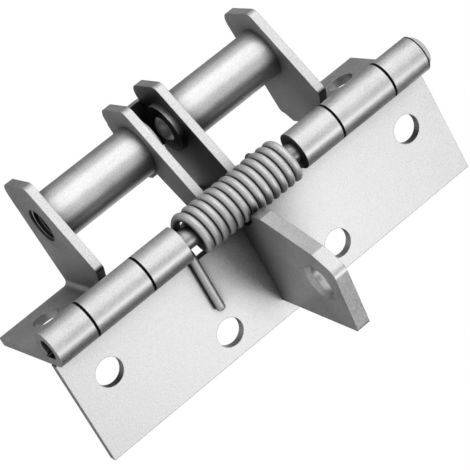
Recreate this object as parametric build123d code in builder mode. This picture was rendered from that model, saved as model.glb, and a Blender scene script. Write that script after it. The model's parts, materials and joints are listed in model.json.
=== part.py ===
"""Spring loaded door hinge, in millimetres.

A butt hinge with a torsion spring round its pin. The frame leaf carries four arms with two catch
tubes, and the door leaf carries a thick lug. When the door is wide open the lug swings in between
the two inner arms and two sprung balls snap into its hole.

Z runs along the pin. The back of the frame leaf lies in the plane X = 0 and the leaf runs out
along +Y, with the centre of its two screws at the origin. The door leaf is drawn at rest, turned
almost square to the frame leaf.
"""
import os
from math import asin, cos, degrees, hypot, isclose, radians, sin, sqrt

from build123d import *

# Leaves and barrel
LENGTH = 127.0
LEAF_WIDTH = 38.4
SHEET = 2.5
PIN_RADIUS = 2.9
PIN_CLEARANCE = 0.05
REST_ANGLE = 83.0
END_KNUCKLE = 12.3
DOOR_KNUCKLE = 18.5
INNER_KNUCKLE = 12.8
KNUCKLE_GAP = 0.3
NOTCH_CLEARANCE = 1.15
ROLL_SEAM = 0.2
HEAD_RADIUS = 4.6
HEAD_HEIGHT = 2.0
HEAD_EDGE = 1.6
PIN_RECESS = 1.5

# Screw holes
SCREW_HOLE = 8.1
FRAME_SCREW_OUT = 28.3
FRAME_SCREW_FROM_END = 11.0
DOOR_OUTER_SCREW_OUT = 17.4
DOOR_OUTER_SCREW_FROM_END = 11.15
DOOR_INNER_SCREW_OUT = 30.9
DOOR_INNER_SCREW_FROM_END = 44.25

# Catch tubes, balls and what presses them
CATCH_OUT = 27.5
CATCH_UP = 17.7
TUBE_RADIUS = 7.3
TUBE_BORE = 5.1
BALL_RADIUS = 5.0
BALL_SEAT_CLEARANCE = 0.05
BALL_SHOWING = 1.7
BALL_WIRE = 0.7
BALL_SPRING_RADIUS = 4.1
BALL_SPRING_TURNS = 5.0
BALL_WIRE_SIDES = 6
BALL_SPRING_CLEARANCE = 0.1
SCREW_LENGTH = 8.0
SCREW_DEPTH = 6.0
SCREW_CLEARANCE = 0.05
HEX_ACROSS_FLATS = 6.0
HEX_DEPTH = 4.5
SCREW_CHAMFER = 0.8

# Arms
OUTER_ARM_FACE = 39.9
BEND_RADIUS = 1.5
ARM_TIP = 30.3
ARM_TIP_OUT = 21.8
ARM_SLOPE = 0.54
ARM_KNEE_UP = 5.2
ARM_FOOT_OUT = 12.5
ARM_FOOT_RISE = 1.7
ARM_CORNER = 4.0
ARM_SMALL_CORNER = 1.5
ARM_TIP_CORNER = 3.0
RELIEF = 0.6
TONGUE_EDGE = 1.2
BLANK_CUT = 0.6

# Inner channel
LUG_THICKNESS = 4.0
TUBE_TO_LUG = 0.55
TUBE_PAST_CHEEK = 1.7
CHANNEL_OUT = 38.0
CHANNEL_CORNER = 3.0
WEB_TOP = 25.0
WEB_BOTTOM = 11.0
CHEEK_UNDER_TUBE = 2.2
CHEEK_KNEE = 0.5
CHEEK_FOOT_OUT = 15.9
CHEEK_SLOPE = 0.71
DEEP_FOOT_OUT = 33.5
SPRING_RELIEF = 0.9

# Lug
LUG_OUTER_EDGE = 33.7
LUG_TIP_OUTER = 33.4
LUG_TIP_INNER = 37.3
LUG_TIP_INNER_OUT = 13.9
LUG_SHOULDER_OUT = 9.5
LUG_SHOULDER_UP = 30.9
LUG_WAIST_OUT = 2.9
LUG_WAIST_UP = 11.6
LUG_CORNER = 3.2
LUG_OUTER_CORNER = 1.0
CATCH_ANGLE = 86.0
LUG_HOLE = 4.4
LUG_COUNTERSINK = 5.6

# Torsion spring
WIRE = 2.45
COIL_RADIUS = 5.45
COIL_TURNS = 13
LEAD_TURNS = 0.45
LEAD_RISE = 3.15
LEG_BEND = 2.6
LEG_REACH = 23.3
LEG_SEAT = 0.03
LEG_TO_KNUCKLE = 0.35

# What follows from them
BORE_RADIUS = PIN_RADIUS + PIN_CLEARANCE
BARREL_RADIUS = BORE_RADIUS + SHEET
PIN_X = -BARREL_RADIUS
PIN_Y = -FRAME_SCREW_OUT
HALF_LENGTH = LENGTH / 2
END_KNUCKLE_Z = HALF_LENGTH - END_KNUCKLE
DOOR_KNUCKLE_Z = END_KNUCKLE_Z - DOOR_KNUCKLE
SPRING_SPACE_Z = DOOR_KNUCKLE_Z - INNER_KNUCKLE
KNUCKLE_NOTCH = BARREL_RADIUS + NOTCH_CLEARANCE
COIL_OUTSIDE = COIL_RADIUS + WIRE / 2
SPRING_NOTCH = COIL_OUTSIDE + NOTCH_CLEARANCE + RELIEF
DOOR_TURN = 90.0 - REST_ANGLE
TUBE_INNER_Z = LUG_THICKNESS / 2 + TUBE_TO_LUG
CHEEK_INNER_Z = TUBE_INNER_Z + TUBE_PAST_CHEEK
CHEEK_OUTER_Z = CHEEK_INNER_Z + SHEET
CHEEK_BACK = CHANNEL_OUT + SHEET - CHANNEL_CORNER
OUTER_ARM_INNER_FACE = OUTER_ARM_FACE - SHEET
BALL_Z = TUBE_INNER_Z - BALL_SHOWING + BALL_RADIUS
FRONT_UP = -BORE_RADIUS
BEND_TOP_UP = FRONT_UP + BEND_RADIUS
LEG_UP = FRONT_UP + WIRE / 2 + LEG_SEAT
LEG_Z = SPRING_SPACE_Z - LEG_TO_KNUCKLE - WIRE / 2
CATCH_RADIUS = hypot(CATCH_OUT, CATCH_UP)
LUG_CATCH_ANGLE = CATCH_ANGLE - degrees(asin(CATCH_UP / CATCH_RADIUS))
LUG_HOLE_OUT = CATCH_RADIUS * cos(radians(LUG_CATCH_ANGLE))
LUG_HOLE_UP = CATCH_RADIUS * sin(radians(LUG_CATCH_ANGLE))

TURN = radians(DOOR_TURN)
DOOR_ALONG = (cos(TURN), sin(TURN), 0)
DOOR_FRONT = (sin(TURN), -cos(TURN), 0)
FRAME_BACK = Plane(origin=(0, PIN_Y, 0), x_dir=(0, 1, 0), z_dir=(1, 0, 0))
DOOR_BACK = Plane(
    origin=(PIN_X - BARREL_RADIUS * DOOR_FRONT[0], PIN_Y - BARREL_RADIUS * DOOR_FRONT[1], 0),
    x_dir=DOOR_ALONG,
    z_dir=DOOR_FRONT,
)


def frame_section(z):
    """Plane across the pin: x runs out along the frame leaf and y rises off its front."""
    return Plane(origin=(PIN_X, PIN_Y, z), x_dir=(0, 1, 0), z_dir=(0, 0, 1))


def door_section(z):
    """The same for the door leaf, looking down: what it draws is extruded towards -Z."""
    return Plane(origin=(PIN_X, PIN_Y, z), x_dir=DOOR_ALONG, z_dir=(0, 0, -1))


def rolled_knuckle(plane):
    """Section of a knuckle: the sheet rolled round the pin until it almost meets its own front."""
    seam_up = FRONT_UP + ROLL_SEAM
    seam_out = sqrt(BARREL_RADIUS**2 - seam_up**2)
    with BuildSketch(plane) as section:
        Circle(BARREL_RADIUS)
        Circle(BORE_RADIUS, mode=Mode.SUBTRACT)
        with BuildLine():
            Polyline(
                (0, FRONT_UP),
                (0, 0),
                (seam_out, seam_up),
                (BARREL_RADIUS, seam_up),
                (BARREL_RADIUS, FRONT_UP),
                close=True,
            )
        make_face(mode=Mode.SUBTRACT)
    return section.sketch


def arm_front(up):
    """Where the slanted front edge of an arm lies, out along the leaf, at a height."""
    return ARM_TIP_OUT - ARM_SLOPE * (ARM_TIP - up)


def outer_arm(plane):
    """Outline of an outer arm above its bend, with the hole for a catch tube."""
    foot = (ARM_FOOT_OUT, BEND_TOP_UP + ARM_FOOT_RISE)
    with BuildSketch(plane) as section:
        with BuildLine():
            FilletPolyline(
                (ARM_FOOT_OUT, BEND_TOP_UP),
                foot,
                (arm_front(ARM_KNEE_UP), ARM_KNEE_UP),
                (ARM_TIP_OUT, ARM_TIP),
                (LEAF_WIDTH, ARM_TIP),
                (LEAF_WIDTH, BEND_TOP_UP),
                radius=(0, ARM_SMALL_CORNER, ARM_SMALL_CORNER, ARM_TIP_CORNER, ARM_CORNER, 0),
                close=True,
            )
        make_face()
        with Locations((CATCH_OUT, CATCH_UP)):
            Circle(TUBE_RADIUS, mode=Mode.SUBTRACT)
    return section.sketch


def cheek(plane, deep):
    """Outline of an inner arm: the tip of an outer arm on a leg that clears the coil.

    The lower arm's leg is narrow. The upper one is deep and shuts the slot beside the lug.
    """
    tube_under = CATCH_UP - TUBE_RADIUS
    under = tube_under - CHEEK_UNDER_TUBE
    knee_up = tube_under - CHEEK_KNEE
    knee_out = CHEEK_FOOT_OUT + CHEEK_SLOPE * (knee_up - FRONT_UP)
    if deep:
        leg = [(DEEP_FOOT_OUT, FRONT_UP)]
    else:
        leg = [(CHEEK_FOOT_OUT, FRONT_UP), (knee_out, knee_up), (CATCH_OUT + SHEET, under)]
    leg += [(CHEEK_BACK, under)]
    tip = [(CHEEK_BACK, ARM_TIP), (ARM_TIP_OUT, ARM_TIP), (arm_front(FRONT_UP), FRONT_UP)]
    with BuildSketch(plane) as section:
        with BuildLine():
            FilletPolyline(
                *leg, *tip, radius=[0.0] * len(leg) + [ARM_CORNER, ARM_TIP_CORNER, 0.0], close=True
            )
        make_face()
        Circle(COIL_OUTSIDE + SPRING_RELIEF, mode=Mode.SUBTRACT)
        with Locations((CATCH_OUT, CATCH_UP)):
            Circle(TUBE_RADIUS, mode=Mode.SUBTRACT)
    return section.sketch


def helix_wire(turns, rise, radius, start_z, start_degrees, wire_radius, centre, sides=0):
    """A stretch of wire wound right-handed about a line along Z, round or with flat sides."""
    pitch = rise / turns
    spin = Plane(origin=(*centre, start_z), z_dir=(0, 0, 1)).rotated((0, 0, start_degrees))
    with BuildPart() as coil:
        with BuildLine(spin) as path:
            Helix(pitch=pitch, height=rise, radius=radius)
        with BuildSketch(Plane(origin=path.line @ 0, z_dir=path.line % 0)):
            if sides:
                RegularPolygon(wire_radius, sides)
            else:
                Circle(wire_radius)
        sweep(is_frenet=True)
    return coil.part


# Frame leaf: plate, rolled knuckles and the two outer arms bent up out of its outer strip
arm_blank = (arm_front(ARM_KNEE_UP) - BLANK_CUT, OUTER_ARM_FACE - (ARM_KNEE_UP - FRONT_UP))
bend_line = OUTER_ARM_FACE + BEND_RADIUS
neck = ARM_FOOT_OUT - RELIEF
tongue = (DEEP_FOOT_OUT + TONGUE_EDGE, CHEEK_OUTER_Z)
roof_lower = (arm_front(ARM_TIP) - BLANK_CUT, -CHEEK_OUTER_Z)
roof_upper = (arm_front(ARM_TIP) - BLANK_CUT, CHEEK_OUTER_Z)
with BuildPart() as frame_leaf:
    with BuildSketch(FRAME_BACK):
        with Locations((LEAF_WIDTH / 2, 0)):
            Rectangle(LEAF_WIDTH, LENGTH)
        for side in (-1, 1):
            with Locations((KNUCKLE_NOTCH / 2, side * (END_KNUCKLE_Z + DOOR_KNUCKLE_Z) / 2)):
                Rectangle(KNUCKLE_NOTCH, DOOR_KNUCKLE, mode=Mode.SUBTRACT)
            with Locations((FRAME_SCREW_OUT, side * (HALF_LENGTH - FRAME_SCREW_FROM_END))):
                Circle(SCREW_HOLE / 2, mode=Mode.SUBTRACT)
        with Locations((SPRING_NOTCH / 2, 0)):
            Rectangle(SPRING_NOTCH, 2 * SPRING_SPACE_Z, mode=Mode.SUBTRACT)
        with BuildLine():
            Polyline(
                (2 * LEAF_WIDTH, -bend_line),
                (neck, -bend_line),
                (neck, -OUTER_ARM_INNER_FACE),
                (arm_blank[0], -arm_blank[1]),
                roof_lower,
                (tongue[0], CHEEK_INNER_Z),
                tongue,
                roof_upper,
                (arm_blank[0], arm_blank[1]),
                (neck, OUTER_ARM_INNER_FACE),
                (neck, bend_line),
                (2 * LEAF_WIDTH, bend_line),
                close=True,
            )
        make_face(mode=Mode.SUBTRACT)
    extrude(amount=-SHEET)
    for low, high in (
        (-HALF_LENGTH, -END_KNUCKLE_Z - KNUCKLE_GAP / 2),
        (-DOOR_KNUCKLE_Z + KNUCKLE_GAP / 2, -SPRING_SPACE_Z),
        (SPRING_SPACE_Z, DOOR_KNUCKLE_Z - KNUCKLE_GAP / 2),
        (END_KNUCKLE_Z + KNUCKLE_GAP / 2, HALF_LENGTH),
    ):
        extrude(rolled_knuckle(frame_section(low)), amount=high - low)
    for side in (-1, 1):
        low = min(side * OUTER_ARM_FACE, side * OUTER_ARM_INNER_FACE)
        extrude(outer_arm(frame_section(low)), amount=SHEET)
        bend_plane = Plane(
            origin=(-SHEET - BEND_RADIUS, PIN_Y + ARM_FOOT_OUT, side * bend_line),
            x_dir=(0, 0, -side),
            z_dir=(0, 1, 0),
        )
        with BuildSketch(bend_plane):
            Circle(BEND_RADIUS + SHEET)
            Circle(BEND_RADIUS, mode=Mode.SUBTRACT)
            quarter = (BEND_RADIUS + SHEET, -side * (BEND_RADIUS + SHEET))
            with BuildLine():
                Polyline((0, 0), (quarter[0], 0), quarter, (0, quarter[1]), close=True)
            make_face(mode=Mode.INTERSECT)
        extrude(amount=LEAF_WIDTH - ARM_FOOT_OUT)
frame_leaf.part.label = "frame_leaf"

# Inner channel: two cheeks and the web bent round behind the catch
with BuildPart() as inner_channel:
    for low, deep in ((-CHEEK_OUTER_Z, False), (CHEEK_INNER_Z, True)):
        extrude(cheek(frame_section(low), deep), amount=SHEET)
    web_plane = Plane(
        origin=(PIN_X - WEB_BOTTOM, PIN_Y + CHANNEL_OUT + SHEET, 0), x_dir=(0, 0, 1), z_dir=(-1, 0, 0)
    )
    with BuildSketch(web_plane):
        with Locations((0, -2 * CHANNEL_CORNER)):
            RectangleRounded(2 * CHEEK_OUTER_Z, 4 * CHANNEL_CORNER, CHANNEL_CORNER)
        with Locations((0, -2 * CHANNEL_CORNER - SHEET)):
            RectangleRounded(
                2 * CHEEK_INNER_Z, 4 * CHANNEL_CORNER, CHANNEL_CORNER - SHEET, mode=Mode.SUBTRACT
            )
        with Locations((0, -2.5 * CHANNEL_CORNER)):
            Rectangle(2 * CHEEK_OUTER_Z, 3 * CHANNEL_CORNER, mode=Mode.SUBTRACT)
    extrude(amount=WEB_TOP - WEB_BOTTOM)
inner_channel.part.label = "inner_channel"

# Catch tubes, each with its set screw, spring and ball
catch_parts = []
for name, side in (("lower", -1), ("upper", 1)):
    inward = Plane(
        origin=(PIN_X - CATCH_UP, PIN_Y + CATCH_OUT, side * OUTER_ARM_FACE), z_dir=(0, 0, -side)
    )
    ball_depth = OUTER_ARM_FACE - BALL_Z
    tube_length = OUTER_ARM_FACE - TUBE_INNER_Z
    with BuildPart() as tube:
        with BuildSketch(inward):
            Circle(TUBE_RADIUS)
        extrude(amount=tube_length)
        with BuildSketch(inward):
            Circle(TUBE_BORE)
        extrude(amount=ball_depth, mode=Mode.SUBTRACT)
        with Locations(inward.offset(ball_depth).location):
            Sphere(BALL_RADIUS + BALL_SEAT_CLEARANCE, mode=Mode.SUBTRACT)
    tube.part.label = f"{name}_catch_tube"

    with BuildPart() as set_screw:
        with BuildSketch(inward.offset(SCREW_DEPTH)):
            Circle(TUBE_BORE - SCREW_CLEARANCE)
        extrude(amount=SCREW_LENGTH)
        chamfer(set_screw.edges().filter_by(GeomType.CIRCLE), SCREW_CHAMFER)
        with BuildSketch(inward.offset(SCREW_DEPTH)):
            RegularPolygon(HEX_ACROSS_FLATS / 2, 6, major_radius=False)
        extrude(amount=HEX_DEPTH, mode=Mode.SUBTRACT)
    set_screw.part.label = f"{name}_set_screw"

    with BuildPart() as ball:
        with Locations(inward.offset(ball_depth).location):
            Sphere(BALL_RADIUS)
    ball.part.label = f"{name}_ball"

    spring_start = SCREW_DEPTH + SCREW_LENGTH + BALL_WIRE
    ball_contact = sqrt((BALL_RADIUS + BALL_WIRE + BALL_SPRING_CLEARANCE) ** 2 - BALL_SPRING_RADIUS**2)
    spring_end = ball_depth - ball_contact
    spring_low = min(side * (OUTER_ARM_FACE - spring_start), side * (OUTER_ARM_FACE - spring_end))
    ball_spring = helix_wire(
        BALL_SPRING_TURNS,
        spring_end - spring_start,
        BALL_SPRING_RADIUS,
        spring_low,
        0,
        BALL_WIRE,
        (PIN_X - CATCH_UP, PIN_Y + CATCH_OUT),
        BALL_WIRE_SIDES,
    )
    ball_spring.label = f"{name}_ball_spring"
    catch_parts += [tube.part, set_screw.part, ball.part, ball_spring]

# Hinge pin with its formed head on the upper end
with BuildPart() as hinge_pin:
    with BuildSketch(frame_section(PIN_RECESS - HALF_LENGTH)):
        Circle(PIN_RADIUS)
    extrude(amount=LENGTH - PIN_RECESS)
    with BuildSketch(frame_section(HALF_LENGTH)):
        Circle(HEAD_RADIUS)
    extrude(amount=HEAD_HEIGHT)
    fillet(hinge_pin.edges().sort_by(Axis.Z)[-1], HEAD_EDGE)
hinge_pin.part.label = "hinge_pin"

# Torsion spring: coil, a steeper first stretch, and a leg lying on the front of each leaf
leg_angle = degrees(asin((LEG_BEND - LEG_UP) / (COIL_RADIUS + LEG_BEND)))
coil_start = DOOR_TURN + leg_angle
coil_end = 90.0 - leg_angle
all_turns = COIL_TURNS + (coil_end - coil_start) / 360
lead_in = helix_wire(
    LEAD_TURNS, LEAD_RISE, COIL_RADIUS, -LEG_Z, coil_start, WIRE / 2, (PIN_X, PIN_Y)
)
main_coil = helix_wire(
    all_turns - LEAD_TURNS,
    2 * LEG_Z - LEAD_RISE,
    COIL_RADIUS,
    LEAD_RISE - LEG_Z,
    coil_start + 360 * LEAD_TURNS,
    WIRE / 2,
    (PIN_X, PIN_Y),
)


def spring_leg(start_angle, leg_direction, turn_sign, z):
    """A leg: a tight bend out of the coil, then straight along a leaf."""
    out = Vector(cos(radians(start_angle)), sin(radians(start_angle)), 0)
    along = Vector(cos(radians(leg_direction)), sin(radians(leg_direction)), 0)
    start = Vector(PIN_X, PIN_Y, z) + out * COIL_RADIUS
    heading = Vector(-turn_sign * out.Y, turn_sign * out.X, 0)
    swing = -turn_sign * (90.0 - leg_angle)
    reach = LEG_REACH - (COIL_RADIUS + LEG_BEND) * cos(radians(leg_angle))
    with BuildPart() as leg:
        with BuildLine() as path:
            bend = JernArc(start, heading, LEG_BEND, swing)
            Line(bend @ 1, bend @ 1 + along * reach)
        with BuildSketch(Plane(origin=path.line @ 0, z_dir=heading)):
            Circle(WIRE / 2)
        sweep()
    return leg.part


torsion_spring = (
    main_coil
    + lead_in
    + spring_leg(coil_start, DOOR_TURN, -1, -LEG_Z)
    + spring_leg(coil_end, 90.0, 1, LEG_Z)
)
torsion_spring.label = "torsion_spring"

# Door leaf: plate with two rolled knuckles and four screw holes
with BuildPart() as door_leaf:
    with BuildSketch(DOOR_BACK):
        with Locations((LEAF_WIDTH / 2, 0)):
            Rectangle(LEAF_WIDTH, LENGTH)
        for side in (-1, 1):
            with Locations((KNUCKLE_NOTCH / 2, side * (END_KNUCKLE_Z + END_KNUCKLE / 2))):
                Rectangle(KNUCKLE_NOTCH, END_KNUCKLE, mode=Mode.SUBTRACT)
            with Locations((DOOR_OUTER_SCREW_OUT, side * (HALF_LENGTH - DOOR_OUTER_SCREW_FROM_END))):
                Circle(SCREW_HOLE / 2, mode=Mode.SUBTRACT)
            with Locations((DOOR_INNER_SCREW_OUT, side * (HALF_LENGTH - DOOR_INNER_SCREW_FROM_END))):
                Circle(SCREW_HOLE / 2, mode=Mode.SUBTRACT)
        with Locations((KNUCKLE_NOTCH / 2, 0)):
            Rectangle(KNUCKLE_NOTCH, 2 * DOOR_KNUCKLE_Z, mode=Mode.SUBTRACT)
        with Locations((SPRING_NOTCH / 2, 0)):
            Rectangle(SPRING_NOTCH, 2 * SPRING_SPACE_Z, mode=Mode.SUBTRACT)
    extrude(amount=SHEET)
    for high in (-DOOR_KNUCKLE_Z, END_KNUCKLE_Z):
        top = high - KNUCKLE_GAP / 2
        extrude(rolled_knuckle(door_section(top)), amount=DOOR_KNUCKLE - KNUCKLE_GAP)
door_leaf.part.label = "door_leaf"

# Catch lug: a thick plate stood on the door leaf
with BuildPart() as catch_lug:
    with BuildSketch(door_section(LUG_THICKNESS / 2)):
        with BuildLine():
            FilletPolyline(
                (LUG_OUTER_EDGE, FRONT_UP),
                (LUG_OUTER_EDGE, LUG_TIP_OUTER),
                (LUG_TIP_INNER_OUT, LUG_TIP_INNER),
                (LUG_SHOULDER_OUT, LUG_SHOULDER_UP),
                (LUG_WAIST_OUT, LUG_WAIST_UP),
                (LUG_WAIST_OUT, 0),
                (SPRING_NOTCH, FRONT_UP),
                radius=(0, LUG_OUTER_CORNER, LUG_CORNER, 0, 0, 0, 0),
                close=True,
            )
        make_face()
        Circle(COIL_OUTSIDE + SPRING_RELIEF, mode=Mode.SUBTRACT)
        with Locations((LUG_HOLE_OUT, LUG_HOLE_UP)):
            Circle(LUG_HOLE, mode=Mode.SUBTRACT)
    extrude(amount=LUG_THICKNESS)
    circles = catch_lug.edges().filter_by(GeomType.CIRCLE)
    chamfer(circles.filter_by(lambda edge: isclose(edge.radius, LUG_HOLE)), LUG_COUNTERSINK - LUG_HOLE)
catch_lug.part.label = "catch_lug"

os.makedirs("parts", exist_ok=True)
for piece in (
    frame_leaf.part,
    inner_channel.part,
    *catch_parts,
    hinge_pin.part,
    torsion_spring,
    door_leaf.part,
    catch_lug.part,
):
    export_step(piece, f"parts/{piece.label}.step")
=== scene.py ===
"""Looks of the spring loaded door hinge.

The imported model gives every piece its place. This script adds the finishes, the threads and smooth
springs, a few ends of the folded sheets, the studio and the camera. Lengths are in metres.
"""

import json
import logging
import math
from dataclasses import dataclass, field
from enum import Enum

import bpy
import numpy as np
from mathutils import Euler, Matrix, Vector


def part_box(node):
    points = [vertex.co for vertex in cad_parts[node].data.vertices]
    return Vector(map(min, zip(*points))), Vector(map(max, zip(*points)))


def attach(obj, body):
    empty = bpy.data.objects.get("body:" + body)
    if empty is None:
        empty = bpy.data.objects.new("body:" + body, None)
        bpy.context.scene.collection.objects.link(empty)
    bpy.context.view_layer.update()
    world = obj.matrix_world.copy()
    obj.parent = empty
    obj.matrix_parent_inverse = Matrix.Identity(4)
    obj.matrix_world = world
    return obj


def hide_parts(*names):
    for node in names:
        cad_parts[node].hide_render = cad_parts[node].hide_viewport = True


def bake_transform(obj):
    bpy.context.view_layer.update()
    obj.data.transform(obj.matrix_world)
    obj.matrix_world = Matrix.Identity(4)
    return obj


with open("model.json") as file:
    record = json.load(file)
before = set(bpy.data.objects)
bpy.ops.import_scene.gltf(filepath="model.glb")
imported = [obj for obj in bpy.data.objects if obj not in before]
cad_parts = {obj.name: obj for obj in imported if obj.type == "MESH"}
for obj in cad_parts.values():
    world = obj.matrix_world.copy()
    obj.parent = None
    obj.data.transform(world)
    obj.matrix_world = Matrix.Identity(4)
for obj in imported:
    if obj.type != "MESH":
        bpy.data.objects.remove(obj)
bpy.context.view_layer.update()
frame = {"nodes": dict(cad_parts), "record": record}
LOG = logging.getLogger("hinge")
MM = 0.001
FULL_TURN = 2 * math.pi

FRAME_SIDE = "frame_side"


class Slot(Enum):
    """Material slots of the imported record."""

    SHEET = "plated_sheet"
    TURNED = "turned_steel"
    WIRE = "spring_wire"
    BALL = "polished_ball"
    SCREW = "black_screw"


class End(Enum):
    """The two ends of the hinge, by which way they lie along the pin."""

    LOWER = -1
    UPPER = 1

    @property
    def label(self) -> str:
        """The word that names of pieces start with."""
        return self.name.lower()


@dataclass(frozen=True)
class Hinge:
    """Sizes that several pieces share, in the row's frame.

    Args:
        pin_x: where the pin's axis stands across the leaves.
        pin_y: where it stands along the frame leaf.
        barrel_radius: outer radius of the knuckles.
        barrel_joints: heights at which knuckles meet, and where the pin's head sits.
        sheet: thickness of the folded sheets.
        skin: how far an added piece stays under the surface of a solid.
    """

    pin_x: float = -5.45 * MM
    pin_y: float = -28.3 * MM
    barrel_radius: float = 5.45 * MM
    barrel_joints: tuple[float, ...] = (-51.2 * MM, -32.7 * MM, 32.7 * MM, 51.2 * MM, 63.5 * MM)
    sheet: float = 2.5 * MM
    skin: float = 0.02 * MM


HINGE = Hinge()


# Node helpers


def feed(
    tree: bpy.types.NodeTree, value: float | bpy.types.NodeSocket, target: bpy.types.NodeSocket
) -> None:
    """Gives an input its value.

    Args:
        tree: the node tree.
        value: a number to set, or a socket to link.
        target: the input.
    """
    if isinstance(value, bpy.types.NodeSocket):
        tree.links.new(value, target)
    else:
        target.default_value = value


def calculate(
    tree: bpy.types.NodeTree, operation: str, *values: float | bpy.types.NodeSocket
) -> bpy.types.NodeSocket:
    """Adds a Math node.

    Args:
        tree: the node tree.
        operation: what the node works out.
        values: one number or socket for each input, in order.

    Returns:
        The result.
    """
    node = tree.nodes.new("ShaderNodeMath")
    node.operation = operation
    for value, target in zip(values, node.inputs):
        feed(tree, value, target)
    return node.outputs[0]


def remap(
    tree: bpy.types.NodeTree,
    value: bpy.types.NodeSocket,
    source: tuple[float, float],
    target: tuple[float | bpy.types.NodeSocket, float],
) -> bpy.types.NodeSocket:
    """Maps a value from one range to another, and holds it there.

    Args:
        tree: the node tree.
        value: the value to map.
        source: the range it comes from.
        target: the range it goes to.

    Returns:
        The mapped value.
    """
    node = tree.nodes.new("ShaderNodeMapRange")
    feed(tree, value, node.inputs["Value"])
    for name, limit in zip(("From Min", "From Max", "To Min", "To Max"), (*source, *target)):
        feed(tree, limit, node.inputs[name])
    return node.outputs["Result"]


def tinted(
    tree: bpy.types.NodeTree, colour: bpy.types.NodeSocket, share: bpy.types.NodeSocket
) -> bpy.types.NodeSocket:
    """Multiplies a colour by a number.

    Args:
        tree: the node tree.
        colour: the colour.
        share: how much of it is left.

    Returns:
        The new colour.
    """
    node = tree.nodes.new("ShaderNodeVectorMath")
    node.operation = "SCALE"
    feed(tree, colour, node.inputs[0])
    feed(tree, share, node.inputs["Scale"])
    return node.outputs[0]


def background_share(tree: bpy.types.NodeTree) -> bpy.types.NodeSocket:
    """Tells the rays that see the white background from those that only carry light.

    Args:
        tree: the node tree of a backdrop or of the world.

    Returns:
        A socket that is 1 for a camera, glossy or transmission ray, and else 0.
    """
    path = tree.nodes.new("ShaderNodeLightPath")
    share = path.outputs["Is Camera Ray"]
    for kind in ("Is Glossy Ray", "Is Transmission Ray"):
        share = calculate(tree, "MAXIMUM", share, path.outputs[kind])
    return share


def plain_material(name: str, grey: float, roughness: float) -> bpy.types.Material:
    """Makes a matt grey for a piece of the studio.

    Args:
        name: what the material is called.
        grey: its colour in linear light.
        roughness: its roughness.

    Returns:
        The material.
    """
    material = bpy.data.materials.new(name)
    material.use_nodes = True
    shader = material.node_tree.nodes["Principled BSDF"]
    shader.inputs["Base Color"].default_value = (grey, grey, grey, 1.0)
    shader.inputs["Roughness"].default_value = roughness
    return material


# Finishes


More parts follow.
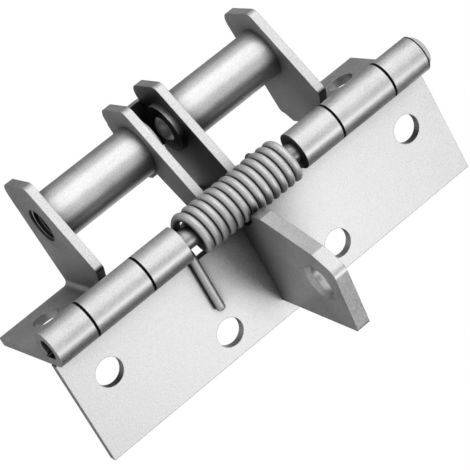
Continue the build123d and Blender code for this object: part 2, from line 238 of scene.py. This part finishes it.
@dataclass(frozen=True)
class Grain:
    """The fine grain, painted crevice shade and rounded edges that all the metal shares.

    Args:
        fine_detail: detail of the fine noise.
        fine_roughness: roughness of the fine noise.
        cloud_scale: scale of the cloudy noise.
        cloud_detail: detail of the cloudy noise.
        noise_span: the part of each noise that is used.
        cloud_share: strength of the cloudy noise beside the fine one.
        roughness_swing: how far the noise moves the roughness.
        crevice_reach: how far away a surface can be and still count as a crevice's wall.
        crevice_span: openness at which the painted shade is full, and at which there is none.
        crevice_samples: rays that look for a crevice.
        edge_samples: rays that round an edge.
    """

    fine_detail: float = 3.0
    fine_roughness: float = 0.65
    cloud_scale: float = 120.0
    cloud_detail: float = 2.0
    noise_span: tuple[float, float] = (0.3, 0.7)
    cloud_share: float = 0.35
    roughness_swing: float = 0.06
    crevice_reach: float = 22 * MM
    crevice_span: tuple[float, float] = (0.4, 0.85)
    crevice_samples: int = 8
    edge_samples: int = 6

    def sockets(self, group: bpy.types.NodeTree) -> None:
        """Gives the group its named inputs and outputs.

        Args:
            group: the group.
        """
        for direction, name, kind in (
            ("INPUT", "Colour", "Color"),
            ("INPUT", "Roughness", "Float"),
            ("INPUT", "Grain", "Float"),
            ("INPUT", "Scale", "Float"),
            ("INPUT", "Bump", "Float"),
            ("INPUT", "Edge", "Float"),
            ("INPUT", "Shade", "Float"),
            ("OUTPUT", "Colour", "Color"),
            ("OUTPUT", "Roughness", "Float"),
            ("OUTPUT", "Normal", "Vector"),
        ):
            group.interface.new_socket(name, in_out=direction, socket_type=f"NodeSocket{kind}")

    def group(self) -> bpy.types.NodeTree:
        """Builds the group.

        The noise is the fine one plus the cloudy one. The colour is scaled by 1 + grain x noise and by
        the openness, which paints shade into crevices and between parts; the roughness gets a share of
        the noise added, and the fine noise is the bump.

        Returns:
            A shader group with colour, roughness and normal outputs.
        """
        group = bpy.data.node_groups.new("metal grain", "ShaderNodeTree")
        self.sockets(group)
        given = group.nodes.new("NodeGroupInput").outputs
        result = group.nodes.new("NodeGroupOutput").inputs
        place = group.nodes.new("ShaderNodeTexCoord").outputs["Object"]

        fine = group.nodes.new("ShaderNodeTexNoise")
        fine.inputs["Detail"].default_value = self.fine_detail
        fine.inputs["Roughness"].default_value = self.fine_roughness
        feed(group, place, fine.inputs["Vector"])
        feed(group, given["Scale"], fine.inputs["Scale"])
        cloud = group.nodes.new("ShaderNodeTexNoise")
        cloud.inputs["Scale"].default_value = self.cloud_scale
        cloud.inputs["Detail"].default_value = self.cloud_detail
        feed(group, place, cloud.inputs["Vector"])
        noise = calculate(
            group,
            "ADD",
            remap(group, fine.outputs["Fac"], self.noise_span, (-1.0, 1.0)),
            remap(group, cloud.outputs["Fac"], self.noise_span, (-self.cloud_share, self.cloud_share)),
        )

        # Painted shade: the openness from Ambient Occlusion darkens the colour in crevices and between
        # parts, down to the Shade share.
        crevice = group.nodes.new("ShaderNodeAmbientOcclusion")
        crevice.samples = self.crevice_samples
        crevice.inputs["Distance"].default_value = self.crevice_reach
        shade_factor = remap(group, crevice.outputs["AO"], self.crevice_span, (given["Shade"], 1.0))
        share = calculate(group, "MULTIPLY_ADD", noise, given["Grain"], 1.0)
        share = calculate(group, "MULTIPLY", share, shade_factor)
        feed(group, tinted(group, given["Colour"], share), result["Colour"])
        rough = calculate(group, "MULTIPLY_ADD", noise, self.roughness_swing, given["Roughness"])
        feed(group, rough, result["Roughness"])

        edge = group.nodes.new("ShaderNodeBevel")
        edge.samples = self.edge_samples
        feed(group, given["Edge"], edge.inputs["Radius"])
        bump = group.nodes.new("ShaderNodeBump")
        feed(group, given["Bump"], bump.inputs["Distance"])
        feed(group, fine.outputs["Fac"], bump.inputs["Height"])
        feed(group, edge.outputs["Normal"], bump.inputs["Normal"])
        feed(group, bump.outputs["Normal"], result["Normal"])
        return group


@dataclass(frozen=True)
class Grease:
    """Painted shade in the joints of the barrel and under the pin's head: dark bands that stand for
    the shade inside the gaps.

    Args:
        band: how far it reaches on either side of a joint.
        fade: how far beyond the barrel it fades out.
        shade: how much of the colour is left under it.
    """

    band: float = 0.4 * MM
    fade: float = 0.8 * MM
    shade: float = 0.03

    def over(self, tree: bpy.types.NodeTree, colour: bpy.types.NodeSocket) -> bpy.types.NodeSocket:
        """Paints the shade of the gaps over a colour.

        It lies where the height is within the band about a joint, times 1 on the barrel, which falls
        to 0 with the distance from the pin's axis.

        Args:
            tree: the node tree of the sheet's material.
            colour: the metal's colour before the gaps are shaded.

        Returns:
            The colour with the painted shade of the gaps.
        """
        place = tree.nodes.new("ShaderNodeTexCoord").outputs["Object"]
        across = tree.nodes.new("ShaderNodeVectorMath")
        across.operation = "MULTIPLY_ADD"
        across.inputs[1].default_value = (1.0, 1.0, 0.0)
        across.inputs[2].default_value = (-HINGE.pin_x, -HINGE.pin_y, 0.0)
        feed(tree, place, across.inputs[0])
        out = tree.nodes.new("ShaderNodeVectorMath")
        out.operation = "LENGTH"
        feed(tree, across.outputs[0], out.inputs[0])
        rim = (HINGE.barrel_radius, HINGE.barrel_radius + self.fade)
        on_barrel = remap(tree, out.outputs["Value"], rim, (1.0, 0.0))

        split = tree.nodes.new("ShaderNodeSeparateXYZ")
        feed(tree, place, split.inputs[0])
        height = split.outputs["Z"]
        # Painted shade: a dark band about each joint's height, laid only on the barrel.
        first, *others = HINGE.barrel_joints
        grease = calculate(tree, "COMPARE", height, first, self.band)
        for joint in others:
            near = calculate(tree, "COMPARE", height, joint, self.band)
            grease = calculate(tree, "MAXIMUM", grease, near)
        lies = calculate(tree, "MULTIPLY", grease, on_barrel)
        return tinted(tree, colour, remap(tree, lies, (0.0, 1.0), (1.0, self.shade)))


@dataclass(frozen=True)
class Finish:
    """A metal finish.

    Args:
        name: what the material is called.
        colour: base colour in linear light.
        roughness: mean roughness.
        grain: how much the fine grain changes the colour, from 0 to 1.
        bump: depth of the grain.
        grain_size: size of one grain.
        edge: radius that the shader rounds sharp edges with.
        metallic: metallic share.
        shade: how much of the colour is left where shade is painted into a crevice.
        grease: the painted shade of the joints of the barrel, or None.
    """

    name: str
    colour: tuple[float, float, float]
    roughness: float
    grain: float
    bump: float
    grain_size: float
    edge: float
    metallic: float
    shade: float = 0.1
    grease: Grease | None = None

    def material(self, grain: bpy.types.NodeTree) -> bpy.types.Material:
        """Makes the material.

        Args:
            grain: the shared grain group.

        Returns:
            The material.
        """
        material = bpy.data.materials.new(self.name)
        material.use_nodes = True
        tree = material.node_tree
        shader = tree.nodes["Principled BSDF"]
        shader.inputs["Metallic"].default_value = self.metallic
        surface = tree.nodes.new("ShaderNodeGroup")
        surface.node_tree = grain
        surface.inputs["Colour"].default_value = (*self.colour, 1.0)
        surface.inputs["Roughness"].default_value = self.roughness
        surface.inputs["Grain"].default_value = self.grain
        surface.inputs["Scale"].default_value = 1.0 / self.grain_size
        surface.inputs["Bump"].default_value = self.bump
        surface.inputs["Edge"].default_value = self.edge
        surface.inputs["Shade"].default_value = self.shade
        colour = surface.outputs["Colour"]
        # Painted shade of the barrel's gaps, on the sheet only.
        if self.grease:
            colour = self.grease.over(tree, colour)
        feed(tree, colour, shader.inputs["Base Color"])
        feed(tree, surface.outputs["Roughness"], shader.inputs["Roughness"])
        feed(tree, surface.outputs["Normal"], shader.inputs["Normal"])
        return material


FINISHES: dict[Slot, Finish] = {
    Slot.SHEET: Finish(
        name="plated sheet",
        colour=(0.58, 0.58, 0.585),
        roughness=0.42,
        grain=0.20,
        bump=0.03 * MM,
        grain_size=0.45 * MM,
        edge=0.25 * MM,
        metallic=0.75,
        grease=Grease(),
    ),
    Slot.TURNED: Finish(
        name="turned steel",
        colour=(0.60, 0.60, 0.605),
        roughness=0.38,
        grain=0.20,
        bump=0.025 * MM,
        grain_size=0.4 * MM,
        edge=0.25 * MM,
        metallic=0.8,
    ),
    Slot.WIRE: Finish(
        name="spring wire",
        colour=(0.64, 0.64, 0.645),
        roughness=0.5,
        grain=0.18,
        bump=0.02 * MM,
        grain_size=0.4 * MM,
        edge=0.1 * MM,
        metallic=0.8,
        shade=0.3,
    ),
    Slot.BALL: Finish(
        name="catch ball",
        colour=(0.66, 0.66, 0.665),
        roughness=0.42,
        grain=0.16,
        bump=0.01 * MM,
        grain_size=0.4 * MM,
        edge=0.0,
        metallic=0.6,
        shade=0.8,
    ),
    Slot.SCREW: Finish(
        name="dark screw",
        colour=(0.12, 0.12, 0.125),
        roughness=0.42,
        grain=0.08,
        bump=0.01 * MM,
        grain_size=0.4 * MM,
        edge=0.2 * MM,
        metallic=0.9,
    ),
}


def coat(piece: bpy.types.Object, slot: Slot, materials: dict[Slot, bpy.types.Material]) -> None:
    """Gives a new piece the material of a slot.

    Args:
        piece: the piece.
        slot: the record's slot that it takes its finish from.
        materials: one material for each slot.
    """
    piece.data.materials.append(materials[slot])


def dress(materials: dict[Slot, bpy.types.Material]) -> None:
    """Gives every CAD node the material of its slot.

    Args:
        materials: one material for each slot.
    """
    for part in frame["record"]["subparts"]:
        piece = frame["nodes"][part["node"]]
        piece.data.materials.clear()
        piece.data.materials.append(materials[Slot(part["material_slot"])])


# Shapes


def mesh_from_grid(name: str, grid: np.ndarray, closed: bool, caps: bool) -> bpy.types.Object:
    """A smooth surface through a grid of points: each four neighbours make one face.

    Args:
        name: what the object is called.
        grid: points of shape (rows, columns, 3); columns go round.
        closed: whether the last row meets the first.
        caps: whether the first and last rows are filled.

    Returns:
        The new object, linked to the scene.
    """
    rows, columns = grid.shape[:2]
    index = np.arange(rows * columns).reshape(rows, columns)
    if closed:
        index = np.vstack([index, index[:1]])
    beside = np.roll(index, -1, axis=1)
    quads = np.stack([index[:-1], beside[:-1], beside[1:], index[1:]], axis=-1).reshape(-1, 4)
    faces = quads.tolist()
    if caps:
        faces.append(index[0][::-1].tolist())
        faces.append(index[-1].tolist())
    mesh = bpy.data.meshes.new(name)
    mesh.from_pydata(grid.reshape(-1, 3).tolist(), [], faces)
    mesh.update()
    mesh.shade_smooth()
    made = bpy.data.objects.new(name, mesh)
    bpy.context.scene.collection.objects.link(made)
    return made


def round_wire(
    name: str, path: np.ndarray, radius: float, sides: int, chamfer_share: float = 0.25
) -> bpy.types.Object:
    """Round wire along a path that never runs along Z.

    A point is the path's point plus the radius times (side x cos + rise x sin) of the angle round the
    wire, where side is level and square to the path, and rise is square to both. The last ring at
    each end is drawn in to make a chamfer.

    Args:
        name: what the object is called.
        path: centre line, of shape (points, 3).
        radius: radius of the wire.
        sides: points round the wire.
        chamfer_share: width of the end chamfers, as a share of the radius.

    Returns:
        The wire.
    """
    along = np.gradient(path, axis=0)
    along /= np.linalg.norm(along, axis=1, keepdims=True)
    side = np.cross(along, (0.0, 0.0, 1.0))
    side /= np.linalg.norm(side, axis=1, keepdims=True)
    rise = np.cross(side, along)
    turn = np.linspace(0.0, -FULL_TURN, sides, endpoint=False)[None, :, None]
    grid = path[:, None] + radius * (side[:, None] * np.cos(turn) + rise[:, None] * np.sin(turn))
    chamfer = chamfer_share * radius
    grid[1] = grid[0] + along[0] * chamfer
    grid[-2] = grid[-1] - along[-1] * chamfer
    grid[[0, -1]] += (path[[0, -1]][:, None] - grid[[0, -1]]) * chamfer_share
    return mesh_from_grid(name, grid, closed=False, caps=True)


def plate(name: str, outline: np.ndarray, low: float, high: float) -> bpy.types.Object:
    """A flat plate: its outline at two heights, joined by straight walls.

    Args:
        name: what the object is called.
        outline: points of shape (corners, 2).
        low: height of its lower face.
        high: height of its upper face.

    Returns:
        The plate.
    """
    grid = np.stack([np.column_stack([outline, np.full(len(outline), z)]) for z in (low, high)])
    made = mesh_from_grid(name, grid, closed=False, caps=True)
    made.data.shade_flat()
    return made


def smooth_step(t: np.ndarray) -> np.ndarray:
    """Goes from 0 to 1 with flat ends, as 3 t squared less 2 t cubed."""
    t = np.clip(t, 0.0, 1.0)
    return t * t * (3 - 2 * t)


@dataclass(frozen=True)
class TorsionSpring:
    """The closing spring: a coil with a leg on the front of each leaf.

    Args:
        wire_radius: radius of the wire.
        coil_radius: radius of the coil's centre line.
        coil_turns: whole turns of the coil.
        lead_turns: turns that the steep start takes.
        lead_rise: how far the steep start rises.
        lead_blend: where the steep start begins to ease off and for how long, as shares of its turns.
        leg_bend: radius of the bend between coil and leg.
        leg_reach: distance from the pin's axis to a leg's tip, along its leaf.
        leg_up: distance from the pin's axis to a leg, square to its leaf.
        leg_z: depth of the lower leg below the middle of the hinge.
        coil_top: height of the upper leg above it.
        door_turn: angle of the door leaf's front.
        steps: points on one turn.
        bend_points: points on a bend.
        leg_points: points on a straight leg.
        wire_sides: points round the wire.
    """

    wire_radius: float = 1.225 * MM
    coil_radius: float = 5.45 * MM
    coil_turns: int = 13
    lead_turns: float = 0.45
    lead_rise: float = 3.15 * MM
    lead_blend: tuple[float, float] = (0.6, 0.8)
    leg_bend: float = 2.6 * MM
    leg_reach: float = 23.3 * MM
    leg_up: float = -1.695 * MM
    leg_z: float = 18.325 * MM
    coil_top: float = 16.7 * MM
    door_turn: float = math.radians(7.0)
    steps: int = 48
    bend_points: int = 16
    leg_points: int = 24
    wire_sides: int = 20

    def leg_angle(self) -> float:
        """Angle between a leaf and where its leg leaves the coil."""
        return math.asin((self.leg_bend - self.leg_up) / (self.coil_radius + self.leg_bend))

    def leg(self, angle: float, direction: float, sign: int, z: float) -> np.ndarray:
        """Centre line of a leg: an arc that leaves the coil, then a straight line along the leaf.

        Args:
            angle: where it leaves the coil.
            direction: which way the leg points.
            sign: 1 where the wire travels with the turn of the coil, or -1.
            z: its height.

        Returns:
            Points of shape (points, 3), from the coil outwards.
        """
        out = self.coil_radius + self.leg_bend
        centre = out * np.array([math.cos(angle), math.sin(angle)])
        swing = math.pi / 2 - self.leg_angle()
        sweep = angle + math.pi - sign * np.linspace(0.0, swing, self.bend_points)
        bend = centre + self.leg_bend * np.stack([np.cos(sweep), np.sin(sweep)], axis=1)
        reach = self.leg_reach - out * math.cos(self.leg_angle())
        way = np.array([math.cos(direction), math.sin(direction)])
        straight = bend[-1] + np.linspace(0.0, reach, self.leg_points)[1:, None] * way
        flat = np.concatenate([bend, straight])
        return np.column_stack([flat, np.full(len(flat), z)])

    def path(self) -> np.ndarray:
        """Centre line of the whole spring.

        The coil is a circle whose height is the running sum of its pitch. The pitch is steep at the
        start and eases to an even one that uses up the height between the legs.

        Returns:
            Points of shape (points, 3), from the door leaf's leg to the frame leaf's.
        """
        start = self.door_turn + self.leg_angle()
        end = math.pi / 2 - self.leg_angle() + FULL_TURN * self.coil_turns
        angle = np.linspace(start, end, self.coil_turns * self.steps)
        turns = (angle - start) / FULL_TURN
        rise = self.leg_z + self.coil_top
        main = (rise - self.lead_rise) / (turns[-1] - self.lead_turns)
        lead = self.lead_rise / self.lead_turns
        ease_from, ease_length = self.lead_blend
        steep = 1 - smooth_step((turns / self.lead_turns - ease_from) / ease_length)
        pitch = main + (lead - main) * steep
        height = np.concatenate([[0.0], np.cumsum((pitch[1:] + pitch[:-1]) / 2 * np.diff(turns))])
        height *= rise / height[-1]
        coil = np.column_stack(
            [self.coil_radius * np.cos(angle), self.coil_radius * np.sin(angle), height - self.leg_z]
        )
        low = self.leg(start, self.door_turn, -1, -self.leg_z)[::-1]
        high = self.leg(end, math.pi / 2, 1, self.coil_top)
        whole = np.concatenate([low[:-1], coil, high[1:]])
        return whole + np.array([HINGE.pin_x, HINGE.pin_y, 0.0])

    def build(self, materials: dict[Slot, bpy.types.Material]) -> None:
        """Makes the spring, bent between the two leaves.

        Args:
            materials: one material for each slot.
        """
        wire = round_wire("torsion_spring_wire", self.path(), self.wire_radius, self.wire_sides)
        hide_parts("torsion_spring")
        coat(wire, Slot.WIRE, materials)
        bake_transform(wire)
        LOG.info("torsion spring built")


@dataclass(frozen=True)
class Catch:
    """One catch: a threaded tube, its set screw, spring and ball.

    Args:
        end: the end of the hinge that it stands at.
        tube_bore: radius of the tube's bore.
        thread_depth: depth of the thread.
        thread_pitch: pitch of the thread.
        thread_start: distance from the tube's mouth to the thread.
        thread_flank: slope of the thread's flanks, in depths for half a pitch.
        thread_root: how much of that slope the flat root takes.
        thread_bite: how far the ring of thread is let into the tube's wall.
        thread_rows: points along the thread.
        thread_sides: points round it.
        wire_radius: radius of the ball spring's wire.
        coil_radius: radius of its centre line.
        coil_turns: its turns.
        turn_points: points on one turn.
        wire_sides: points round the wire.
    """

    end: End
    tube_bore: float = 5.1 * MM
    thread_depth: float = 0.6 * MM
    thread_pitch: float = 1.25 * MM
    thread_start: float = 0.7 * MM
    thread_flank: float = 1.6
    thread_root: float = 0.3
    thread_bite: float = 0.1 * MM
    thread_rows: int = 60
    thread_sides: int = 64
    wire_radius: float = 0.7 * MM
    coil_radius: float = 4.1 * MM
    coil_turns: int = 5
    turn_points: int = 32
    wire_sides: int = 10

    def node(self, piece: str) -> str:
        """Name of one of its CAD nodes."""
        return f"{self.end.label}_{piece}"

    def axis_point(self) -> tuple[float, float]:
        """Where the tube's axis crosses a plane across the pin."""
        low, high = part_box(self.node("catch_tube"))
        return ((low[0] + high[0]) / 2, (low[1] + high[1]) / 2)

    def ends(self, piece: str) -> tuple[float, float]:
        """Outer and inner heights of a piece."""
        low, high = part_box(self.node(piece))
        return (high[2], low[2]) if self.end is End.UPPER else (low[2], high[2])

    def build_thread(self, materials: dict[Slot, bpy.types.Material]) -> None:
        """Makes the thread in the open mouth of the tube, as a ring let into its wall.

        The radius is the bore less the depth times a crest, which is a triangle wave of the height
        less one pitch a turn, cut flat at the root and the crest.

        Args:
            materials: one material for each slot.
        """
        mouth, _ = self.ends("catch_tube")
        screw, _ = self.ends("set_screw")
        first, last = np.sort([mouth - self.end.value * self.thread_start, screw])
        height = np.linspace(first, last, self.thread_rows)[:, None]
        turn = np.linspace(FULL_TURN, 0.0, self.thread_sides, endpoint=False)[None, :]
        phase = (height / self.thread_pitch - turn / FULL_TURN) % 1.0
        wave = 1 - np.abs(2 * phase - 1)
        crest = np.clip(self.thread_flank * wave - self.thread_root, 0.0, 1.0)
        radius = self.tube_bore - HINGE.skin - self.thread_depth * crest
        wall = np.full((2, self.thread_sides), self.tube_bore + self.thread_bite)
        radius = np.vstack([radius, wall])
        height = np.vstack([height, [[last]], [[first]]]) * np.ones_like(turn)
        x, y = self.axis_point()
        grid = np.stack([x + radius * np.cos(turn), y + radius * np.sin(turn), height], axis=-1)
        ring = mesh_from_grid(self.node("thread"), grid, closed=True, caps=False)
        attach(ring, FRAME_SIDE)
        coat(ring, Slot.TURNED, materials)

    def build_spring(self, materials: dict[Slot, bpy.types.Material]) -> None:
        """Makes the ball's spring: an even helix between the set screw and the ball.

        Args:
            materials: one material for each slot.
        """
        node = self.node("ball_spring")
        low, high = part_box(node)
        first, last = low[2] + self.wire_radius, high[2] - self.wire_radius
        angle = np.linspace(0.0, FULL_TURN * self.coil_turns, self.coil_turns * self.turn_points)
        height = np.linspace(first, last, len(angle))
        x, y = self.axis_point()
        radius = self.coil_radius
        path = np.column_stack([x + radius * np.cos(angle), y + radius * np.sin(angle), height])
        wire = round_wire(f"{node}_wire", path, self.wire_radius, self.wire_sides)
        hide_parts(node)
        coat(wire, Slot.WIRE, materials)
        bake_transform(wire)

    def build(self, materials: dict[Slot, bpy.types.Material]) -> None:
        """Makes what the CAD nodes of the catch lack.

        Args:
            materials: one material for each slot.
        """
        self.build_thread(materials)
        self.build_spring(materials)
        LOG.info("%s catch built", self.end.label)


@dataclass(frozen=True)
class CheekFoot:
    """The deep end of the upper inner arm, which shuts the slot below the tubes.

    Args:
        outline: its corners, by the distance from the pin's axis along the leaf and up from it.
    """

    outline: tuple[tuple[float, float], ...] = (
        (32.5 * MM, -2.9 * MM),
        (40.4 * MM, -2.9 * MM),
        (40.4 * MM, 12.0 * MM),
        (36.0 * MM, 12.0 * MM),
    )

    def build(self, materials: dict[Slot, bpy.types.Material]) -> None:
        """Makes the foot as a plate inside the arm's thickness.

        Args:
            materials: one material for each slot.
        """
        out, up = np.array(self.outline).T
        _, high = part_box("inner_channel")
        flat = np.column_stack([HINGE.pin_x - up, HINGE.pin_y + out])
        foot = plate("cheek_foot", flat, high[2] - HINGE.sheet + HINGE.skin, high[2] - HINGE.skin)
        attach(foot, FRAME_SIDE)
        coat(foot, Slot.SHEET, materials)
        LOG.info("foot of the upper inner arm built")


@dataclass(frozen=True)
class ArmHeels:
    """Tapered heels that carry the inner faces of the outer arms down through the leaf.

    Args:
        arm_face: height of an outer arm's outer face.
        bend_radius: inside radius of the bend at the arm's foot.
        heel_out: distance from the pin's axis to the heel.
        leaf_width: distance from the pin's axis to the leaf's outer edge.
        taper: how much shorter the heel is at the leaf's back.
    """

    arm_face: float = 39.9 * MM
    bend_radius: float = 1.5 * MM
    heel_out: float = 12.5 * MM
    leaf_width: float = 38.4 * MM
    taper: float = 4.4 * MM

    def build(self, materials: dict[Slot, bpy.types.Material]) -> None:
        """Makes one heel on each outer arm.

        Args:
            materials: one material for each slot.
        """
        near = HINGE.pin_y + self.heel_out
        far = HINGE.pin_y + self.leaf_width - HINGE.skin
        front, back = -HINGE.sheet - self.bend_radius, -HINGE.skin
        flat = np.array([(front, near), (back, near), (back, far - self.taper), (front, far)])
        for end in End:
            faces = (self.arm_face - HINGE.sheet, self.arm_face - HINGE.skin)
            low, high = sorted(end.value * face for face in faces)
            heel = plate(f"{end.label}_arm_heel", flat, low, high)
            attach(heel, FRAME_SIDE)
            coat(heel, Slot.SHEET, materials)
            LOG.info("%s heel built", end.label)


# Studio


@dataclass(frozen=True)
class Shot:
    """Where the photograph was taken from.

    Args:
        place: the lens, in the row's frame.
        aim: the point in the middle of the picture.
        roll: how far the picture is turned about that line, in degrees.
        lens: focal length, in millimetres.
        picture_width: width of the picture that it is given for, in millimetres.
        nearest: distance from the lens at which the picture starts.
    """

    place: tuple[float, float, float] = (-0.21259, -0.58862, -0.19470)
    aim: tuple[float, float, float] = (-0.00098, -0.03632, -0.00873)
    roll: float = 50.9
    lens: float = 188.06
    picture_width: float = 36.0
    nearest: float = 10 * MM

    def rotation(self) -> Matrix:
        """Turns the camera to the aim, and then rolls it about that line.

        Returns:
            The camera's rotation as a 3 by 3 matrix.
        """
        ahead = Vector(self.aim) - Vector(self.place)
        level = ahead.to_track_quat("-Z", "Y").to_matrix()
        return level @ Matrix.Rotation(math.radians(self.roll), 3, "Z")

    def point(self, right: float, up: float, near: float) -> Vector:
        """A point given from the aim, in the camera's own directions.

        Args:
            right: distance to the camera's right.
            up: distance up in the picture.
            near: distance towards the camera.

        Returns:
            The point in the row's frame.
        """
        across, upwards, back = (Vector(axis) for axis in self.rotation().transposed())
        return Vector(self.aim) + across * right + upwards * up + back * near

    def facing_aim(self, place: Vector, front: str) -> Euler:
        """The rotation that turns the front axis of something at a place towards the aim."""
        return (Vector(self.aim) - place).to_track_quat(front, "Y").to_euler()


@dataclass(frozen=True)
class Stand:
    """Something that stands about the object, turned towards it.

    Args:
        name: what it is called.
        right: distance from the aim to the camera's right.
        up: distance up in the picture.
        near: distance towards the camera.
        size: width and height.
    """

    name: str
    right: float
    up: float
    near: float
    size: tuple[float, float]


@dataclass(frozen=True)
class Lamp(Stand):
    """An area lamp.

    Args:
        power: power in watts.
    """

    power: float


@dataclass(frozen=True)
class Card(Stand):
    """A card behind the object that only its reflections and shade show.

    Args:
        grey: its colour in linear light.
        roughness: its roughness.
    """

    grey: float
    roughness: float = 1.0


LAMPS = (
    Lamp("side key", 0.76, -0.31, 0.37, (0.24, 0.24), 1.05),
    Lamp("top wash", -0.05, 0.75, 0.45, (0.50, 0.35), 1.0),
    Lamp("front wash", 0.25, 0.45, 0.72, (0.45, 0.30), 0.85),
)
CARDS = (
    Card("low left card", -0.36, -0.34, -0.50, (1.00, 0.90), 0.10),
    Card("right card", 0.53, -0.46, -0.22, (0.75, 0.75), 0.01),
    Card("top card", -0.38, 0.42, -0.50, (0.95, 0.80), 0.80),
)


@dataclass(frozen=True)
class Studio:
    """Camera, lamps, cards, floor and white background.

    Args:
        shot: the camera's view.
        floor_height: height of the floor.
        floor_width: width of the floor.
        floor_grey: colour of the floor in linear light.
        floor_roughness: roughness of the floor.
        floor_glow: how much the floor shines for the rays that see the background.
        room_light: how much the room lights the object.
    """

    shot: Shot = field(default_factory=Shot)
    floor_height: float = -0.32
    floor_width: float = 6.0
    floor_grey: float = 0.85
    floor_roughness: float = 0.9
    floor_glow: float = 0.4
    room_light: float = 0.14

    def camera(self) -> None:
        """Sets the scene's camera to the photograph's view."""
        data = bpy.data.cameras.new("photo camera")
        data.lens = self.shot.lens
        data.sensor_width = self.shot.picture_width
        data.clip_start = self.shot.nearest
        camera = bpy.data.objects.new("photo camera", data)
        camera.matrix_world = Matrix.Translation(self.shot.place) @ self.shot.rotation().to_4x4()
        bpy.context.scene.collection.objects.link(camera)
        bpy.context.scene.camera = camera

    def hang(self, lamp: Lamp) -> None:
        """Hangs a lamp, turned to face the object.

        Args:
            lamp: the lamp.
        """
        data = bpy.data.lights.new(lamp.name, "AREA")
        data.shape = "RECTANGLE"
        data.size, data.size_y = lamp.size
        data.energy = lamp.power
        made = bpy.data.objects.new(lamp.name, data)
        made.location = self.shot.point(lamp.right, lamp.up, lamp.near)
        made.rotation_euler = self.shot.facing_aim(made.location, "-Z")
        bpy.context.scene.collection.objects.link(made)

    def stand_up(self, card: Card) -> None:
        """Stands a card behind the object, turned to face it.

        Args:
            card: the card.
        """
        bpy.ops.mesh.primitive_plane_add(size=1.0)
        made = bpy.context.object
        made.name = card.name
        made.scale = (*card.size, 1.0)
        made.location = self.shot.point(card.right, card.up, card.near)
        made.rotation_euler = self.shot.facing_aim(made.location, "Z")
        made.visible_camera = False
        made.visible_shadow = False
        made.data.materials.append(plain_material(card.name, card.grey, card.roughness))

    def floor(self) -> None:
        """Lays a plain pale floor well below the object."""
        bpy.ops.mesh.primitive_plane_add(size=self.floor_width, location=(0.0, 0.0, self.floor_height))
        made = bpy.context.object
        made.name = "floor"
        material = plain_material("pale floor", self.floor_grey, self.floor_roughness)
        tree = material.node_tree
        shader = tree.nodes["Principled BSDF"]
        shader.inputs["Emission Color"].default_value = (1.0, 1.0, 1.0, 1.0)
        glow = calculate(tree, "MULTIPLY", background_share(tree), self.floor_glow)
        feed(tree, glow, shader.inputs["Emission Strength"])
        made.data.materials.append(material)

    def world(self) -> None:
        """A soft grey room that the camera sees as white."""
        world = bpy.data.worlds.new("studio")
        world.use_nodes = True
        tree = world.node_tree
        shine = tree.nodes["Background"]
        level = remap(tree, background_share(tree), (0.0, 1.0), (self.room_light, 1.0))
        feed(tree, level, shine.inputs["Strength"])
        shine.inputs["Color"].default_value = (1.0, 1.0, 1.0, 1.0)
        bpy.context.scene.world = world

    def build(self) -> None:
        """Makes the whole studio."""
        self.camera()
        for lamp in LAMPS:
            self.hang(lamp)
        for card in CARDS:
            self.stand_up(card)
        self.floor()
        self.world()
        bpy.context.scene.view_settings.view_transform = "Standard"
        LOG.info("studio built")


def main() -> None:
    """Builds the whole picture."""
    grain = Grain().group()
    materials = {slot: finish.material(grain) for slot, finish in FINISHES.items()}
    dress(materials)
    LOG.info("CAD nodes dressed")
    TorsionSpring().build(materials)
    CheekFoot().build(materials)
    ArmHeels().build(materials)
    for end in End:
        Catch(end).build(materials)
    Studio().build()
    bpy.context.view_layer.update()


if __name__ == "__main__":
    logging.basicConfig(level=logging.INFO)
    main()
